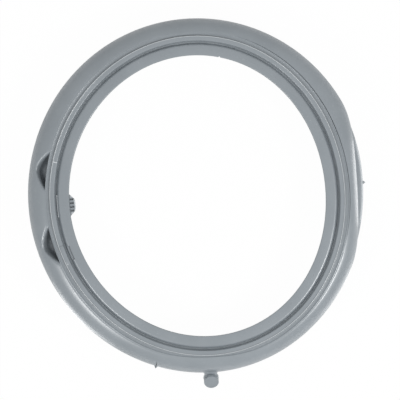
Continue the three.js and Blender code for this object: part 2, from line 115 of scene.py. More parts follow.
class Graph:
    """Adds nodes to one node tree."""

    def __init__(self, tree: bpy.types.NodeTree) -> None:
        """Starts on a tree.

        Args:
            tree: Shader or geometry tree.
        """
        self.tree = tree

    def plug(self, target: bpy.types.NodeSocket, value: object) -> None:
        """Links a socket into an input, or sets the input's own value.

        Args:
            target: Input socket.
            value: Socket, Blender socket or plain value.
        """
        if isinstance(value, Socket):
            value = value.source
        if isinstance(value, bpy.types.NodeSocket):
            self.tree.links.new(value, target)
        else:
            target.default_value = value

    def node(
        self,
        kind: str,
        inputs: Mapping[str | int, object] | None = None,
        **settings: object,
    ) -> bpy.types.Node:
        """Adds any node.

        Args:
            kind: Blender's name of the node type.
            inputs: Values or sockets by input name or place.
            settings: Properties of the node.

        Returns:
            The new node.
        """
        node = self.tree.nodes.new(kind)
        for name, value in settings.items():
            setattr(node, name, value)
        for key, value in (inputs or {}).items():
            self.plug(node.inputs[key], value)
        return node

    def read(self, node: bpy.types.Node, output: str | int = 0) -> Socket:
        """Wraps one output of a node as a number."""
        return Socket(self, node.outputs[output])

    def math(self, operation: str, *values: Number) -> Socket:
        """Adds a Math node.

        Args:
            operation: Name of the operation.
            values: Its numbers, in order.

        Returns:
            The result.
        """
        return self.read(self.node("ShaderNodeMath", dict(enumerate(values)), operation=operation))

    def ramp(self, value: Number, low: Number, high: Number) -> Socket:
        """Smooth step of a value, from 0 to 1 between two limits."""
        inputs = {"Value": value, "From Min": low, "From Max": high}
        return self.read(self.node("ShaderNodeMapRange", inputs, interpolation_type="SMOOTHSTEP"))

    def vector(self, x: Number = 0.0, y: Number = 0.0, z: Number = 0.0) -> bpy.types.NodeSocket:
        """Joins three numbers into a vector."""
        return self.node("ShaderNodeCombineXYZ", {"X": x, "Y": y, "Z": z}).outputs[0]

    def store(
        self,
        geometry: bpy.types.NodeSocket,
        name: str,
        value: Number,
    ) -> bpy.types.NodeSocket:
        """Gives every point of a geometry a number.

        Args:
            geometry: Geometry to mark.
            name: Name of the attribute.
            value: Its value.

        Returns:
            The marked geometry.
        """
        inputs = {"Geometry": geometry, "Name": name, "Value": value}
        settings = {"data_type": "FLOAT", "domain": "POINT"}
        return self.node("GeometryNodeStoreNamedAttribute", inputs, **settings).outputs[0]


def empty_graph(owner: bpy.types.Material | bpy.types.World) -> Graph:
    """Graph of a material or a world that has no nodes yet."""
    owner.use_nodes = True
    owner.node_tree.nodes.clear()
    return Graph(owner.node_tree)


def in_scene(name: str, data: bpy.types.ID) -> bpy.types.Object:
    """New object in the scene that shows this data."""
    thing = bpy.data.objects.new(name, data)
    bpy.context.scene.collection.objects.link(thing)
    return thing


def either(operation: str, plain: Callable[..., float]) -> Callable[..., Number]:
    """Makes a function that takes plain numbers or sockets.

    Args:
        operation: Name of the Math node's operation, for sockets.
        plain: The same function for plain numbers.

    Returns:
        Function whose first number tells which of the two is used.
    """

    def function(*values: Number) -> Number:
        """Result of the operation on the numbers."""
        first = values[0]
        return first.graph.math(operation, *values) if isinstance(first, Socket) else plain(*values)

    return function


sine = either("SINE", math.sin)
cosine = either("COSINE", math.cos)
arcsine = either("ARCSINE", math.asin)
square_root = either("SQRT", math.sqrt)
smaller = either("MINIMUM", min)


def smooth_step(value: Number, high: Number) -> Number:
    """Smooth step from 0 at zero to 1 at the high limit."""
    if isinstance(value, Socket):
        return value.graph.ramp(value, 0.0, high)
    share = min(1.0, max(0.0, value / high))
    return share * share * (3 - 2 * share)


@dataclass(frozen=True)
class OvalSizes:
    """Sizes that set the plan of the seal. Each is an input of the geometry tree too."""

    hole_half_width: float = 0.1407
    hole_half_height: float = 0.1545
    hole_lean: float = math.radians(4)
    hole_shift_x: float = 0.0007
    hole_shift_y: float = -0.0022
    hole_lobe: float = 0.0012
    outer_half_width: float = 0.1862
    outer_half_height: float = 0.1953
    outer_shift_y: float = -0.00105
    outer_lobe: float = 0.001
    outer_lobe_angle: float = math.radians(42.3)
    outer_corner: float = 0.00037
    channel_start: float = 0.0217
    channel_width: float = 0.0041
    channel_pinch: float = 0.6
    pinch_half_angle: float = math.radians(20)
    valley_offset: float = 0.0013
    lock_flat_depth: float = 0.00947
    lock_arc_radius: float = 1.5
    lock_lean: float = math.radians(0.87)
    lock_blend: float = 0.01
    pocket_middle: float = math.radians(181.3)
    pocket_angle: float = math.radians(14.1)
    pocket_half_angle: float = math.radians(7.6)
    pocket_reach: float = 0.013
    pocket_depth: float = 0.013
    pocket_flank: float = 0.8
    pocket_rounding: float = 1.5
    crease_angle: float = math.radians(24)
    crease_limit: float = 0.6
    crease_fade: float = 0.4
    crease_depth: float = 0.0021


def oval_radius(half_width: Number, half_height: Number, angle: Number) -> Number:
    """Radius of an upright oval in one direction.

    Args:
        half_width: Half of its width.
        half_height: Half of its height.
        angle: Direction from +X, in radians.

    Returns:
        Distance from the oval's middle to its edge.
    """
    across = half_height * cosine(angle)
    along = half_width * sine(angle)
    return half_width * half_height / square_root(across * across + along * along)


class SealPlan:
    """Radii of the seal in every direction, worked out for numbers or for sockets."""

    def __init__(self, sizes: Mapping[str, Number]) -> None:
        """Takes the sizes, each a number or a socket.

        Args:
            sizes: One entry for each field of OvalSizes.
        """
        self.sizes = sizes

    def hole(self, angle: Number) -> Number:
        """Radius of the hole's edge, a leaning oval with three shallow lobes."""
        s = self.sizes
        oval = oval_radius(s["hole_half_width"], s["hole_half_height"], angle - s["hole_lean"])
        shift = s["hole_shift_x"] * cosine(angle) + s["hole_shift_y"] * sine(angle)
        return oval + shift - s["hole_lobe"] * cosine(angle * 3.0)

    def outer(self, angle: Number) -> Number:
        """Radius of the outer oval, before the lock flat is taken off it."""
        s = self.sizes
        lobe = s["outer_lobe"] * cosine((angle - s["outer_lobe_angle"]) * 3.0)
        oval = oval_radius(s["outer_half_width"], s["outer_half_height"], angle)
        shift = s["outer_shift_y"] * sine(angle)
        return oval + shift + lobe + s["outer_corner"] * sine(angle * 4.0)

    def bulge(self, angle: Number) -> Number:
        """Radius of the bulge's widest line, flattened on the lock side."""
        s = self.sizes
        arc = s["lock_arc_radius"]
        centre = self.outer(0.0) - s["lock_flat_depth"] - arc
        turned = angle + s["lock_lean"]
        rise = centre * sine(turned)
        flat = centre * cosine(turned) + square_root(arc * arc - rise * rise)
        outer = self.outer(angle)
        blend = 1.0 - smaller(abs(outer - flat) / s["lock_blend"], 1.0)
        return smaller(outer, flat) - s["lock_blend"] * blend * blend / 4.0

    def channel(self, angle: Number) -> Number:
        """Width of the clamp channel, which closes towards the top and the bottom."""
        s = self.sizes
        from_upright = arcsine(smaller(abs(cosine(angle)), 1.0))
        open_share = smooth_step(from_upright, s["pinch_half_angle"])
        return s["channel_width"] * (1.0 - s["channel_pinch"] * (1.0 - open_share))

    def valley(self, angle: Number) -> Number:
        """Radius of the bottom of the valley inside the bulge."""
        s = self.sizes
        return self.hole(angle) + s["channel_start"] + self.channel(angle) + s["valley_offset"]

    def pocket(self, angle: Number, out: Number) -> Number:
        """Depth of the hinge pockets at a distance out from the valley."""
        s = self.sizes
        across = abs(abs(angle - s["pocket_middle"]) - s["pocket_angle"]) / s["pocket_half_angle"]
        inside = 1.0 - across ** s["pocket_rounding"] - out / s["pocket_reach"]
        return s["pocket_depth"] * smooth_step(inside, s["pocket_flank"])

    def crease(self, angle: Number) -> Number:
        """Extra depth of the valley, where the lock side is pushed in."""
        s = self.sizes
        facing = cosine(angle - s["crease_angle"]) - s["crease_limit"]
        return s["crease_depth"] * smooth_step(facing, s["crease_fade"])


def plain_plan(sizes: OvalSizes) -> SealPlan:
    """Plan worked out for plain numbers."""
    return SealPlan({item.name: getattr(sizes, item.name) for item in fields(sizes)})


@dataclass(frozen=True)
class SectionPoint:
    """A point of the section, as shares of the plan's radii plus an offset.

    Every field is a linear share, so a point between two points is found by mixing their fields.
    """

    hole: float = 0.0
    outer: float = 0.0
    bulge: float = 0.0
    channel: float = 0.0
    offset: float = 0.0
    height: float = 0.0
    pocket: float = 0.0
    crease: float = 0.0
    # Next two marks: paler rubber that is part real wear and part painted highlight, and darker
    # rubber that is painted shade in hollows.
    worn: float = 0.0
    hollow: float = 0.0


Corners = list[tuple[SectionPoint, float]]


def mixed(first: SectionPoint, second: SectionPoint, share: float) -> SectionPoint:
    """Point at a share of the way from one point to another."""
    return SectionPoint(*(a + (b - a) * share for a, b in zip(astuple(first), astuple(second))))


@dataclass(frozen=True)
class SectionSizes:
    """Sizes of the moulded section, from the hole outwards and from the crown down."""

    lip_width: float = 0.0121
    lip_thickness: float = 0.003
    lip_nose: float = 0.0007
    groove_width: float = 0.0044
    groove_floor: float = 0.001
    groove_depth: float = 0.0042
    groove_back: float = 0.0047
    bead_width: float = 0.0043
    bead_rise: float = 0.0026
    rim_width: float = 0.0009
    rim_rise: float = 0.0009
    channel_depth: float = 0.0015
    channel_margin: float = 0.12
    edge_width: float = 0.0009
    edge_drop: float = 0.0008
    valley_depth: float = 0.00005
    bulge_roll: float = 0.0175
    roll_start: float = math.radians(19)
    bulge_under: float = 0.0125
    under_share: float = 0.28
    crown_share: float = 0.02
    lip_drop: float = 0.0016
    wall: float = 0.003
    lining_share: float = 0.3
    lining_fullness: float = 0.6
    roof_wall: float = 0.006
    fold_inset: float = 0.0027
    fold_height: float = 0.018
    crease_inset: float = 0.013
    crease_wall: float = 0.004
    seat_inset: float = 0.0135
    flange_height: float = 0.015
    shoulder_width: float = 0.003
    shoulder_height: float = 0.007
    shoulder_slope: float = 0.001
    tub_leg: float = 0.0035
    tub_groove_width: float = 0.003
    tub_groove_depth: float = 0.0085
    drum_leg: float = 0.004
    drum_lip_reach: float = 0.003
    drum_lip_height: float = 0.003

    @property
    def crease_z(self) -> float:
        """Height of the crease between the bulge and the rear fold."""
        return self.flange_height + self.fold_height

    @property
    def widest_z(self) -> float:
        """Height of the bulge's widest line."""
        return self.crease_z + self.bulge_under

    @property
    def crown_z(self) -> float:
        """Height of the bulge's crown."""
        return self.widest_z + self.bulge_roll

    @property
    def valley_z(self) -> float:
        """Height of the valley's bottom."""
        return self.crown_z - self.valley_depth

    @property
    def lip_z(self) -> float:
        """Height of the lip's face."""
        return self.crown_z - self.lip_drop

    @property
    def lip_back_z(self) -> float:
        """Height of the lip's back."""
        return self.lip_z - self.lip_thickness

    @property
    def groove_z(self) -> float:
        """Height of the groove's floor."""
        return self.lip_z - self.groove_depth

    @property
    def bead_z(self) -> float:
        """Height of the bead's face."""
        return self.lip_z + self.bead_rise

    @property
    def fold_z(self) -> float:
        """Height of the rear fold's widest line."""
        return self.flange_height + self.fold_height / 2

    @property
    def bead_start(self) -> float:
        """Distance of the bead from the hole."""
        return self.lip_width + self.groove_width

    @property
    def rim_start(self) -> float:
        """Distance of the raised rim from the hole."""
        return self.bead_start + self.bead_width

    @property
    def rim_end(self) -> float:
        """Distance of the channel from the hole."""
        return self.rim_start + self.rim_width


@dataclass(frozen=True)
class CornerRadii:
    """Reach of the rounding along both sides of a corner, by kind of corner."""

    groove_edge: float = 0.0018
    nose: float = 0.0012
    floor: float = 0.001
    fold: float = 0.0008
    valley: float = 0.0007
    edge: float = 0.0006
    leg: float = 0.0005
    rim: float = 0.00045
    thin_edge: float = 0.0004
    rim_root: float = 0.0003


class SealSection:
    """Closed section of the seal, with its moulded corners rounded."""

    REFERENCE_ANGLE = math.radians(225)  # where the corners' roundings have their full size
    LONGEST_SHARE = 0.45  # of a side that one rounding may take
    CURVE_SHARES = (1 / 3, 2 / 3)

    def __init__(self, sizes: SectionSizes, plan: OvalSizes) -> None:
        """Takes the sizes that the section is drawn from.

        Args:
            sizes: Sizes of the section.
            plan: Sizes of the plan, for the lengths that both share.
        """
        self.sizes = sizes
        self.plan = plan
        self.radii = CornerRadii()

    def from_hole(self, out: float, height: float, **marks: float) -> SectionPoint:
        """Point at a distance out from the hole's edge."""
        return SectionPoint(hole=1, offset=out, height=height, **marks)

    def from_outer(self, inset: float, height: float, **marks: float) -> SectionPoint:
        """Point at a distance in from the outer oval."""
        return SectionPoint(outer=1, offset=-inset, height=height, **marks)

    def beside_channel(
        self, share: float, out: float, height: float, **marks: float
    ) -> SectionPoint:
        """Point at a share of the channel's width, then further out."""
        offset = self.sizes.rim_end + out
        return SectionPoint(hole=1, channel=share, offset=offset, height=height, **marks)

    def on_bulge(
        self, share: float, height: float, inset: float = 0.0, **marks: float
    ) -> SectionPoint:
        """Point between the valley and the bulge's widest line.

        Args:
            share: 0 at the valley and 1 at the widest line.
            height: Level above the floor.
            inset: How far inside the widest line the far end is.
            marks: Marks of wear with painted highlight, and of painted shade.

        Returns:
            The point, pressed down by the pockets above the widest line.
        """
        valley = 1 - share
        offset = valley * (self.plan.channel_start + self.plan.valley_offset) - share * inset
        pressed = 1.0 if height >= self.sizes.widest_z - 1e-6 else 0.0
        shares = {"hole": valley, "bulge": share, "channel": valley}
        return SectionPoint(**shares, offset=offset, height=height, pocket=pressed, **marks)

    def front_face(self) -> Corners:
        """Lip, groove, bead, rim and channel, each point with its corner radius."""
        s = self.sizes
        r = self.radii
        middle = s.lip_width + s.groove_width / 2
        half_floor = s.groove_floor / 2
        rim_z = s.bead_z + s.rim_rise
        channel_z = s.bead_z - s.channel_depth
        edge_z = s.bead_z - s.edge_drop
        # The pale marks here are partly wear and partly painted highlight, strongest on the rim;
        # the channel's dark mark is painted shade.
        return [
            (self.from_hole(0, s.lip_z - s.lip_thickness / 2), r.nose),
            (self.from_hole(s.lip_nose, s.lip_z), r.edge),
            (self.from_hole(s.lip_width, s.lip_z, worn=0.35), r.groove_edge),
            (self.from_hole(middle - half_floor, s.groove_z, worn=0.5), r.floor),
            (self.from_hole(middle + half_floor, s.groove_z, worn=0.5), r.floor),
            (self.from_hole(s.bead_start, s.bead_z, worn=0.15), r.edge),
            (self.from_hole(s.rim_start, s.bead_z), r.rim_root),
            (self.from_hole(s.rim_start + s.rim_width / 3, rim_z, worn=1.0), r.rim),
            (self.from_hole(s.rim_end, rim_z, worn=1.0), r.rim),
            (self.beside_channel(s.channel_margin, 0, channel_z, hollow=0.3), r.leg),
            (self.beside_channel(1 - s.channel_margin, 0, channel_z, hollow=0.3), r.leg),
            (self.beside_channel(1, 0, edge_z, worn=0.3), r.thin_edge),
            (self.beside_channel(1, s.edge_width, edge_z, worn=0.3), r.thin_edge),
        ]

    def bulge_face(self, roll_steps: int = 16, under_steps: int = 5) -> Corners:
        """Dry face of the bulge, out of the valley, over the crown and down.

        Args:
            roll_steps: Steps from the crown to the widest line.
            under_steps: Steps from the widest line to the crease.

        Returns:
            Points with their corner radii.
        """
        s = self.sizes
        points = [(self.on_bulge(0, s.valley_z, crease=1), self.radii.valley)]
        first = math.sin(s.roll_start)
        tall = s.bulge_roll / math.cos(s.roll_start)
        for i in range(roll_steps + 1):
            turn = s.roll_start + i / roll_steps * (math.pi / 2 - s.roll_start)
            share = s.crown_share + (1 - s.crown_share) * (math.sin(turn) - first) / (1 - first)
            points.append((self.on_bulge(share, s.widest_z + tall * math.cos(turn)), 0.0))
        for i in range(1, under_steps + 1):
            turn = i / under_steps * math.pi / 2
            share = 1 - s.under_share * (1 - math.cos(turn))
            drop = (s.bulge_under - s.wall / 2) * math.sin(turn)
            points.append((self.on_bulge(share, s.widest_z - drop), 0.0))
        return points

    def fold_face(self, steps: int = 10) -> Corners:
        """Dry face of the rear fold, from the crease to the clamp seat."""
        s = self.sizes
        depth = s.crease_inset - s.fold_inset
        # The crease's dark mark is painted shade.
        points = [(self.from_outer(s.crease_inset, s.crease_z, hollow=1), self.radii.fold)]
        for i in range(1, steps):
            turn = i / steps * math.pi
            inset = s.crease_inset - depth * math.sin(turn)
            height = s.fold_z + s.fold_height / 2 * math.cos(turn)
            points.append((self.from_outer(inset, height), 0.0))
        return points

    def flange_face(self) -> Corners:
        """Tub flange with the clamp seat, the groove for the tub's rim and the drum lip."""
        s = self.sizes
        r = self.radii
        shoulder = s.seat_inset - s.shoulder_width
        groove_outer = s.seat_inset + s.tub_leg
        groove_inner = groove_outer + s.tub_groove_width
        leg_inner = groove_inner + s.drum_leg
        lip = leg_inner + s.drum_lip_reach
        roof = s.tub_groove_depth + s.wall
        return [
            (self.from_outer(s.seat_inset, s.flange_height), r.fold),
            (self.from_outer(s.seat_inset, s.shoulder_height), r.edge),
            (self.from_outer(shoulder, s.shoulder_height - s.shoulder_slope, worn=1), r.leg),
            (self.from_outer(shoulder, 0, worn=1), r.leg),
            (self.from_outer(groove_outer, 0, worn=0.6), r.leg),
            # The tub groove's dark mark is painted shade.
            (self.from_outer(groove_outer, s.tub_groove_depth, hollow=1), r.leg),
            (self.from_outer(groove_inner, s.tub_groove_depth, hollow=1), r.leg),
            (self.from_outer(groove_inner, 0, worn=0.6), r.leg),
            (self.from_outer(leg_inner, 0, worn=1), r.edge),
            (self.from_outer(lip, s.drum_lip_height, worn=1), r.edge),
            (self.from_outer(lip, s.drum_lip_height + s.wall, worn=1), r.edge),
            (self.from_outer(groove_inner + s.wall / 2, roof), r.floor),
            (self.from_outer(groove_outer, roof + s.wall), r.floor),
        ]

    def wet_face(self, fold_steps: int = 7, bulge_steps: int = 10) -> Corners:
        """Wet side, up inside the fold and the bulge and home along the back of the lip.

        Args:
            fold_steps: Steps up inside the rear fold.
            bulge_steps: Steps up inside the bulge.

        Returns:
            Points with their corner radii.
        """
        s = self.sizes
        r = self.radii
        points = []
        depth = s.crease_inset - s.fold_inset
        for i in range(fold_steps - 1, 0, -1):
            turn = i / fold_steps * math.pi
            inset = s.crease_inset + s.wall - depth * math.sin(turn)
            height = s.fold_z + (s.fold_height - s.wall) / 2 * math.cos(turn)
            points.append((self.from_outer(inset, height), 0.0))
        points.append((self.from_outer(s.crease_inset + s.crease_wall, s.crease_z), r.floor))
        bottom = s.crease_z + s.crease_wall
        top = s.crown_z - s.roof_wall
        for i in range(bulge_steps + 1):
            turn = i / bulge_steps * math.pi
            height = bottom + (top - bottom) * (1 - math.cos(turn)) / 2
            fullness = s.lining_fullness if turn < math.pi / 2 else 1.0
            bow = max(0.0, math.sin(turn)) ** fullness
            share = s.lining_share + (1 - s.lining_share) * bow
            points.append((self.on_bulge(share, height, s.wall), 0.0))
        back = s.groove_z - s.groove_back
        return points + [
            (self.on_bulge(0, s.valley_z - s.wall, crease=1), r.fold),
            (self.from_hole(s.rim_start, back), r.fold),
            (self.from_hole(s.lip_width + s.groove_width / 2, back), r.fold),
            (self.from_hole(s.lip_width, s.lip_back_z), r.fold),
            (self.from_hole(s.lip_nose, s.lip_back_z, worn=0.5), r.leg),
        ]

    def outline(self) -> list[SectionPoint]:
        """All points of the section in order, with the corners rounded."""
        corners = self.front_face() + self.bulge_face() + self.fold_face()
        corners += self.flange_face() + self.wet_face()
        plan = plain_plan(self.plan)
        names = ("hole", "outer", "bulge", "channel")
        radii = {name: getattr(plan, name)(self.REFERENCE_ANGLE) for name in names}

        def place(point: SectionPoint) -> Vector:
            """Place of a point in the section at the reference angle."""
            reach = sum(getattr(point, name) * radius for name, radius in radii.items())
            return Vector((reach + point.offset, point.height))

        outline = []
        for i, (corner, radius) in enumerate(corners):
            if radius == 0:
                outline.append(corner)
                continue
            before = corners[i - 1][0]
            after = corners[(i + 1) % len(corners)][0]
            sides = [(place(corner) - place(other)).length for other in (before, after)]
            start, end = (
                mixed(corner, other, min(self.LONGEST_SHARE, radius / side))
                for other, side in zip((before, after), sides)
            )
            outline.append(replace(start, worn=min(corner.worn, before.worn)))
            for share in self.CURVE_SHARES:
                curve = mixed(mixed(start, corner, share), mixed(corner, end, share), share)
                outline.append(replace(curve, worn=corner.worn))
            outline.append(replace(end, worn=min(corner.worn, after.worn)))
        return outline


@dataclass(frozen=True)
class NoiseLook:
    """One noise: waves in a metre, number of finer layers and their strength."""

    scale: float
    detail: float
    roughness: float = 0.5


class Material:
    """A procedural material under construction."""

    def __init__(self, name: str) -> None:
        """Starts an empty node material.

        Args:
            name: Name of the material.
        """
        self.material = bpy.data.materials.new(name)
        self.graph = empty_graph(self.material)
        self.place = self.graph.node("ShaderNodeTexCoord").outputs["Object"]

    def noise(self, look: NoiseLook) -> Socket:
        """Noise over the object, from 0 to 1."""
        inputs = {"Vector": self.place, "Scale": look.scale, "Detail": look.detail}
        inputs["Roughness"] = look.roughness
        node = self.graph.node("ShaderNodeTexNoise", inputs, noise_dimensions="3D")
        return self.graph.read(node, "Fac")

    def mark(self, name: str) -> Socket:
        """A mark that the mesh carries, from 0 to 1."""
        return self.graph.read(self.graph.node("ShaderNodeAttribute", attribute_name=name), "Fac")

    def blend(self, share: Number, first: object, second: object) -> bpy.types.NodeSocket:
        """Colour between two colours.

        Args:
            share: 0 for the first and 1 for the second.
            first: Colour or colour socket.
            second: Colour or colour socket.

        Returns:
            Colour socket.
        """
        settings = {"data_type": "RGBA", "blend_type": "MIX", "clamp_factor": True}
        node = self.graph.node("ShaderNodeMix", **settings)
        self.graph.plug(node.inputs[0], share)
        self.graph.plug(node.inputs[6], first)
        self.graph.plug(node.inputs[7], second)
        return node.outputs[2]


@dataclass(frozen=True)
class RubberLook:
    """Colours and finish of the grey rubber, in linear light."""

    base: tuple[float, float, float, float] = (0.258, 0.288, 0.312, 1)
    shade: tuple[float, float, float, float] = (0.236, 0.265, 0.288, 1)
    # Pale colour for wear, also used to paint highlights on the rim, edges, lug, collar and nib.
    worn: tuple[float, float, float, float] = (0.56, 0.59, 0.61, 1)
    # Dark colour of painted shade in hollows, grooves and pockets.
    hollow: tuple[float, float, float, float] = (0.1, 0.115, 0.128, 1)
    dust: tuple[float, float, float, float] = (0.46, 0.48, 0.49, 1)
    roughness: float = 0.3
    mottle: NoiseLook = NoiseLook(26, 4, 0.55)
    cloud: NoiseLook = NoiseLook(7, 2)
    grain: NoiseLook = NoiseLook(900, 3, 0.6)
    specks: NoiseLook = NoiseLook(420, 1)
    smear: NoiseLook = NoiseLook(90, 3, 0.65)
    mottle_share: float = 0.6
    tone_limits: tuple[float, float] = (0.36, 0.64)
    speck_limits: tuple[float, float] = (0.71, 0.78)
    speck_cover: float = 0.25
    wear_least: float = 0.55
    wear_smear: float = 0.7
    wear_limits: tuple[float, float] = (0.25, 0.95)
    wear_polish: float = 0.05
    dirt_limits: tuple[float, float] = (0.05, 1.0)
    dirt_dullness: float = 0.35
    cover: float = 0.9
    smear_dullness: float = 0.06
    grain_dullness: float = 0.05
    grain_share: float = 0.6
    bump_strength: float = 0.1
    bump_distance: float = 0.00008
    specular: float = 1.0
    sheen: float = 0.1
    sheen_roughness: float = 0.4

    def build(self) -> bpy.types.Material:
        """Builds the rubber: mottled, finely grained, paler where the wear mark gives real wear and
        painted highlights, darker where the hollow mark gives painted shade.
        """
        rubber = Material(SLOT)
        graph = rubber.graph
        mottle, cloud, grain, smear = (
            rubber.noise(look) for look in (self.mottle, self.cloud, self.grain, self.smear)
        )
        specks = graph.ramp(rubber.noise(self.specks), *self.speck_limits)
        patches = self.mottle_share * mottle + (1 - self.mottle_share) * cloud
        tone = graph.ramp(patches, *self.tone_limits)
        # Paler where the mesh's wear mark is: partly real wear, partly painted highlight.
        rubbed_and_lit = rubber.mark("worn") * (self.wear_least + self.wear_smear * smear)
        wear_and_highlight_share = graph.ramp(rubbed_and_lit, *self.wear_limits)
        # Darker where the mesh's hollow mark is: painted shade, which also raises the roughness.
        painted_shade = graph.ramp(rubber.mark("hollow"), *self.dirt_limits)
        colour = rubber.blend(tone, self.shade, self.base)
        colour = rubber.blend(wear_and_highlight_share * self.cover, colour, self.worn)
        colour = rubber.blend(painted_shade * self.cover, colour, self.hollow)
        colour = rubber.blend(specks * self.speck_cover, colour, self.dust)

        uneven = self.smear_dullness * (smear - 0.5) + self.grain_dullness * (grain - 0.5)
        roughness = self.roughness + uneven - self.wear_polish * wear_and_highlight_share + self.dirt_dullness * painted_shade
        height = self.grain_share * grain + (1 - self.grain_share) * smear
        inputs = {"Strength": self.bump_strength, "Distance": self.bump_distance, "Height": height}
        bump = graph.node("ShaderNodeBump", inputs)
        surface = graph.node(
            "ShaderNodeBsdfPrincipled",
            {
                "Base Color": colour,
                "Roughness": roughness,
                "Normal": bump.outputs[0],
                "Specular IOR Level": self.specular,
                "Sheen Weight": self.sheen,
                "Sheen Roughness": self.sheen_roughness,
            },
        )
        graph.node("ShaderNodeOutputMaterial", {"Surface": surface.outputs[0]})
        return rubber.material


def label(name: str) -> str:
    """Name of a tree's input for a field, in plain words."""
    return name.replace("_", " ").title()


class GeometryTree:
    """A geometry tree with named inputs, and the modifier that runs it."""

    def __init__(self, name: str) -> None:
        """Starts the tree.

        Args:
            name: Name of the tree.
        """
        self.tree = bpy.data.node_groups.new(name, "GeometryNodeTree")
        interface = self.tree.interface
        interface.new_socket("Geometry", in_out="OUTPUT", socket_type="NodeSocketGeometry")
        self.graph = Graph(self.tree)
        self.entry = self.graph.node("NodeGroupInput")
        self.values: dict[str, object] = {}

    def number(self, name: str, value: float | int) -> Socket:
        """Adds an input for a number.

        Args:
            name: Name of the input.
            value: What the modifier sets it to.

        Returns:
            The number inside the tree.
        """
        kind = "NodeSocketInt" if isinstance(value, int) else "NodeSocketFloat"
        return Socket(self.graph, self.add(name, kind, value))

    def add(self, name: str, kind: str, value: object) -> bpy.types.NodeSocket:
        """Adds an input of any kind and returns its socket inside the tree."""
        item = self.tree.interface.new_socket(name, in_out="INPUT", socket_type=kind)
        self.values[item.identifier] = value
        return self.entry.outputs[name]

    def finish(self, geometry: bpy.types.NodeSocket, material: bpy.types.Material) -> None:
        """Ends the tree with real geometry that carries its material.

        Args:
            geometry: What the tree has built.
            material: Material of every face.
        """
        rubber = self.add("Material", "NodeSocketMaterial", material)
        real = self.graph.node("GeometryNodeRealizeInstances", {0: geometry})
        inputs = {"Geometry": real.outputs[0], "Material": rubber}
        dressed = self.graph.node("GeometryNodeSetMaterial", inputs)
        self.graph.node("NodeGroupOutput", {0: dressed.outputs[0]})

    def mesh(self, name: str) -> bpy.types.Mesh:
        """Runs the tree once.

        Args:
            name: Name of the mesh.

        Returns:
            Plain mesh of what the tree builds.
        """
        holder = in_scene(name, bpy.data.meshes.new(name))
        modifier = holder.modifiers.new("Nodes", "NODES")
        modifier.node_group = self.tree
        for identifier, value in self.values.items():
            modifier[identifier] = value
        mesh = evaluated_mesh(holder)
        bpy.data.objects.remove(holder)
        return mesh


def evaluated_mesh(thing: bpy.types.Object) -> bpy.types.Mesh:
    """Plain mesh of an object with its modifiers run."""
    graph = bpy.context.evaluated_depsgraph_get()
    return bpy.data.meshes.new_from_object(thing.evaluated_get(graph), depsgraph=graph)


